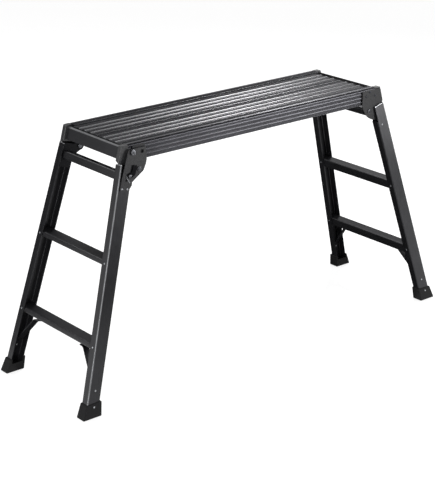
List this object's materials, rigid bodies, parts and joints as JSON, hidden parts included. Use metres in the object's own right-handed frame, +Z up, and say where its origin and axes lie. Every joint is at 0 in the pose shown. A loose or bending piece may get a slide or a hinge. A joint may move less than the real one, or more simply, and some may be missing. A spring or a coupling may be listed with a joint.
{
  "type": "folding work platform bench",
  "caption": "Low aluminium work platform: a long ribbed deck on splayed ladder-style leg frames that fold flat under it.",
  "frame": {"origin": "on the floor under the middle of the deck", "axes": "+X along the deck towards the leg frame whose channels cover their brackets, -Y the front in the picture, +Z up"},
  "size_m": [1.4748, 0.4594, 0.775],
  "materials": {
    "deck_alloy": "dark anodised, satin",
    "dark_alloy": "black coated extrusion, satin",
    "grey_plate": "fine grained dark coat on steel sheet",
    "knuckle_alloy": "die cast, dark coat",
    "dark_steel": "black coated steel",
    "bright_steel": "zinc plated",
    "cap_plastic": "moulded, fine matt",
    "foot_rubber": "moulded, matt"
  },
  "bodies": {
    "deck": {"centre_joiner": "deck_alloy", "front_plank": "deck_alloy", "front_rail": "deck_alloy", "left_cross_bearer": "dark_alloy", "left_end_channel": "dark_alloy", "left_front_bracket": "grey_plate", "left_front_rail_cap": "cap_plastic", "left_rear_bracket": "grey_plate", "left_rear_rail_cap": "cap_plastic", "rear_plank": "deck_alloy", "rear_rail": "deck_alloy", "right_cross_bearer": "dark_alloy", "right_end_channel": "dark_alloy", "right_front_bracket": "grey_plate", "right_front_bracket_rivet_1": "bright_steel", "right_front_bracket_rivet_2": "bright_steel", "right_front_rail_cap": "cap_plastic", "right_rear_bracket": "grey_plate", "right_rear_bracket_rivet_1": "bright_steel", "right_rear_bracket_rivet_2": "bright_steel", "right_rear_rail_cap": "cap_plastic"},
    "left_leg_frame": {"left_front_foot": "foot_rubber", "left_front_hinge_plate": "grey_plate", "left_front_knee_brace": "dark_alloy", "left_front_knuckle": "knuckle_alloy", "left_front_lever_pin": "bright_steel", "left_front_pivot_pin": "bright_steel", "left_front_stile": "dark_alloy", "left_front_stop_bolt": "bright_steel", "left_lower_rung": "dark_alloy", "left_rear_foot": "foot_rubber", "left_rear_hinge_plate": "grey_plate", "left_rear_knee_brace": "dark_alloy", "left_rear_knuckle": "knuckle_alloy", "left_rear_lever_pin": "bright_steel", "left_rear_pivot_pin": "bright_steel", "left_rear_stile": "dark_alloy", "left_rear_stop_bolt": "bright_steel", "left_spreader": "dark_alloy", "left_upper_rung": "dark_alloy"},
    "left_front_lock": {"left_front_lock_lever": "dark_steel"},
    "left_rear_lock": {"left_rear_lock_lever": "dark_steel"},
    "right_leg_frame": {"right_front_foot": "foot_rubber", "right_front_knee_brace": "dark_alloy", "right_front_knuckle": "knuckle_alloy", "right_front_lever_pin": "bright_steel", "right_front_pivot_pin": "bright_steel", "right_front_stile": "dark_alloy", "right_lower_rung": "dark_alloy", "right_rear_foot": "foot_rubber", "right_rear_knee_brace": "dark_alloy", "right_rear_knuckle": "knuckle_alloy", "right_rear_lever_pin": "bright_steel", "right_rear_pivot_pin": "bright_steel", "right_rear_stile": "dark_alloy", "right_spreader": "dark_alloy", "right_upper_rung": "dark_alloy"},
    "right_front_lock": {"right_front_lock_lever": "bright_steel"},
    "right_rear_lock": {"right_rear_lock_lever": "bright_steel"}
  },
  "joints": [
    {"name": "left_leg_fold", "type": "hinge", "parent": "deck", "child": "left_leg_frame", "pos_m": [-0.468, 0, 0.701], "axis": [0, -1, 0], "range_deg": [0, 102]},
    {"name": "right_leg_fold", "type": "hinge", "parent": "deck", "child": "right_leg_frame", "pos_m": [0.468, 0, 0.701], "axis": [0, 1, 0], "range_deg": [0, 110]},
    {"name": "left_front_lock_swing", "type": "hinge", "parent": "left_leg_frame", "child": "left_front_lock", "pos_m": [-0.50612, -0.16507, 0.68712], "axis": [0.0233, -0.9962, 0.0836], "range_deg": [0, 12], "stiffness_Nm_per_rad": 0.2, "springref_deg": -5.73},
    {"name": "right_front_lock_swing", "type": "hinge", "parent": "right_leg_frame", "child": "right_front_lock", "pos_m": [0.5197, -0.1374, 0.70917], "axis": [0, -1, 0], "range_deg": [0, 8], "stiffness_Nm_per_rad": 0.2, "springref_deg": -5.73},
    {"name": "left_rear_lock_swing", "type": "hinge", "parent": "left_leg_frame", "child": "left_rear_lock", "pos_m": [-0.50612, 0.16507, 0.68712], "axis": [-0.0233, -0.9962, -0.0836], "range_deg": [0, 12], "stiffness_Nm_per_rad": 0.2, "springref_deg": -5.73},
    {"name": "right_rear_lock_swing", "type": "hinge", "parent": "right_leg_frame", "child": "right_rear_lock", "pos_m": [0.5197, 0.1374, 0.70917], "axis": [0, -1, 0], "range_deg": [0, 8], "stiffness_Nm_per_rad": 0.2, "springref_deg": -5.73}
  ]
}
